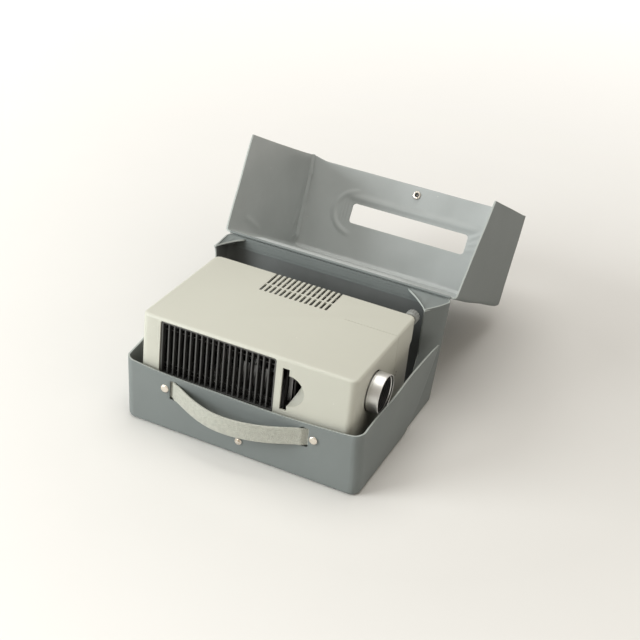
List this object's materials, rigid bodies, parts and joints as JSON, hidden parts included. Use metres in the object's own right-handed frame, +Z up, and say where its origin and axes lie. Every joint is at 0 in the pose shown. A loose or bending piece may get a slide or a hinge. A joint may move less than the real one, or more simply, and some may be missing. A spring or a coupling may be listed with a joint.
{
  "type": "slide projector in carrying case",
  "caption": "Boxy slide projector with louvre grille, slide slot, side lens and rear focus knob, seated in a soft carrying case with strap handle and a hinged box lid thrown open.",
  "frame": {"origin": "middle of the underside of the carrying case, on the surface it stands on", "axes": "+X towards the lens side, +Y towards the back where the lid hangs, +Z up"},
  "size_m": [0.3298, 0.5475, 0.2344],
  "materials": {
    "case_vinyl": "grey coated vinyl sheet, fine grain, soft sheen",
    "strap_vinyl": "light grey moulded vinyl strap",
    "nickel": "nickel plated snap and rivet metal",
    "housing_plastic": "warm light grey enamel look, satin",
    "black_plastic": "black moulded plastic, satin",
    "black_metal": "black painted sheet steel",
    "foot_rubber": "black rubber",
    "cast_aluminium": "dull cast aluminium",
    "lens_aluminium": "turned aluminium, satin",
    "steel": "plain zinc plated steel",
    "lens_glass": "clear coated glass",
    "knob_plastic": "grey ribbed plastic",
    "coil_wrap": "brown varnished winding wrap"
  },
  "bodies": {
    "case": {"case_bottom": "case_vinyl", "case_front_shell": "case_vinyl", "case_back_shell": "case_vinyl", "handle_strap": "strap_vinyl", "handle_rivet_left": "nickel", "handle_rivet_right": "nickel", "snap_stud": "nickel"},
    "lid": {"lid_shell": "case_vinyl", "lid_snap_socket": "nickel"},
    "projector": {"housing": "housing_plastic", "grille": "black_plastic", "base_pan": "black_metal", "rear_panel": "black_metal", "tray_guide": "black_plastic", "foot_front_left": "foot_rubber", "foot_rear_left": "foot_rubber", "foot_rear_right": "foot_rubber", "lens_sleeve": "cast_aluminium", "shaft_bush": "nickel", "slide_gate": "black_metal", "optical_bench": "steel", "lamp_socket": "black_plastic", "lamp": "lens_glass", "reflector": "lens_aluminium", "condenser_holder": "steel", "condenser_rear_lens": "lens_glass", "heat_filter": "lens_glass", "condenser_front_lens": "lens_glass", "fan_motor": "steel", "transformer_core": "steel", "transformer_coil": "coil_wrap", "mains_inlet": "black_plastic", "power_switch_frame": "black_plastic"},
    "focus_drive": {"focus_shaft": "steel", "focus_knob": "knob_plastic"},
    "idler": {"idler_gear": "steel"},
    "lens": {"lens_barrel": "lens_aluminium", "lens_cone": "black_plastic", "front_lens_element": "lens_glass", "rear_lens_element": "lens_glass"},
    "carriage": {"slide_carriage": "steel"},
    "front_foot": {"levelling_foot": "foot_rubber"},
    "rocker": {"power_switch_rocker": "black_plastic"},
    "fan": {"fan_impeller": "black_plastic"}
  },
  "joints": [
    {"name": "lid_hinge", "type": "hinge", "parent": "case", "child": "lid", "pos_m": [0, 0.12336, 0.145], "axis": [-1, 0, 0], "range_deg": [-206.75, 0], "deforming": ["handle_strap"]},
    {"name": "projector_lift", "type": "slide", "parent": "case", "child": "projector", "axis": [0, 0, 1], "range_m": [0, 0.16]},
    {"name": "focus_knob_turn", "type": "hinge", "parent": "projector", "child": "focus_drive", "pos_m": [0.12325, 0.06, 0.1348], "axis": [0, 1, 0], "range_deg": [-140, 0]},
    {"name": "idler_turn", "type": "hinge", "parent": "projector", "child": "idler", "pos_m": [0.11274, -0.061, 0.1334], "axis": [0, 1, 0], "range_deg": [0, 127.5]},
    {"name": "lens_slide", "type": "slide", "parent": "projector", "child": "lens", "axis": [1, 0, 0], "range_m": [-0.0122, 0]},
    {"name": "carriage_slide", "type": "slide", "parent": "projector", "child": "carriage", "axis": [0, -1, 0], "range_m": [0, 0.058]},
    {"name": "foot_screw", "type": "slide", "parent": "projector", "child": "front_foot", "axis": [0, 0, 1], "range_m": [0, 0.004]},
    {"name": "rocker_tilt", "type": "hinge", "parent": "projector", "child": "rocker", "pos_m": [0.00325, 0.0455, 0.05], "axis": [-1, 0, 0], "range_deg": [0, 12]},
    {"name": "fan_spin", "type": "hinge", "parent": "projector", "child": "fan", "pos_m": [-0.04575, 0.0035, 0.074], "axis": [0, 1, 0], "continuous": true}
  ],
  "couplings": [
    {"joint": "focus_knob_turn", "follows": "lens_slide", "rad_per_m": 200},
    {"joint": "idler_turn", "follows": "lens_slide", "rad_per_m": -181.82}
  ]
}
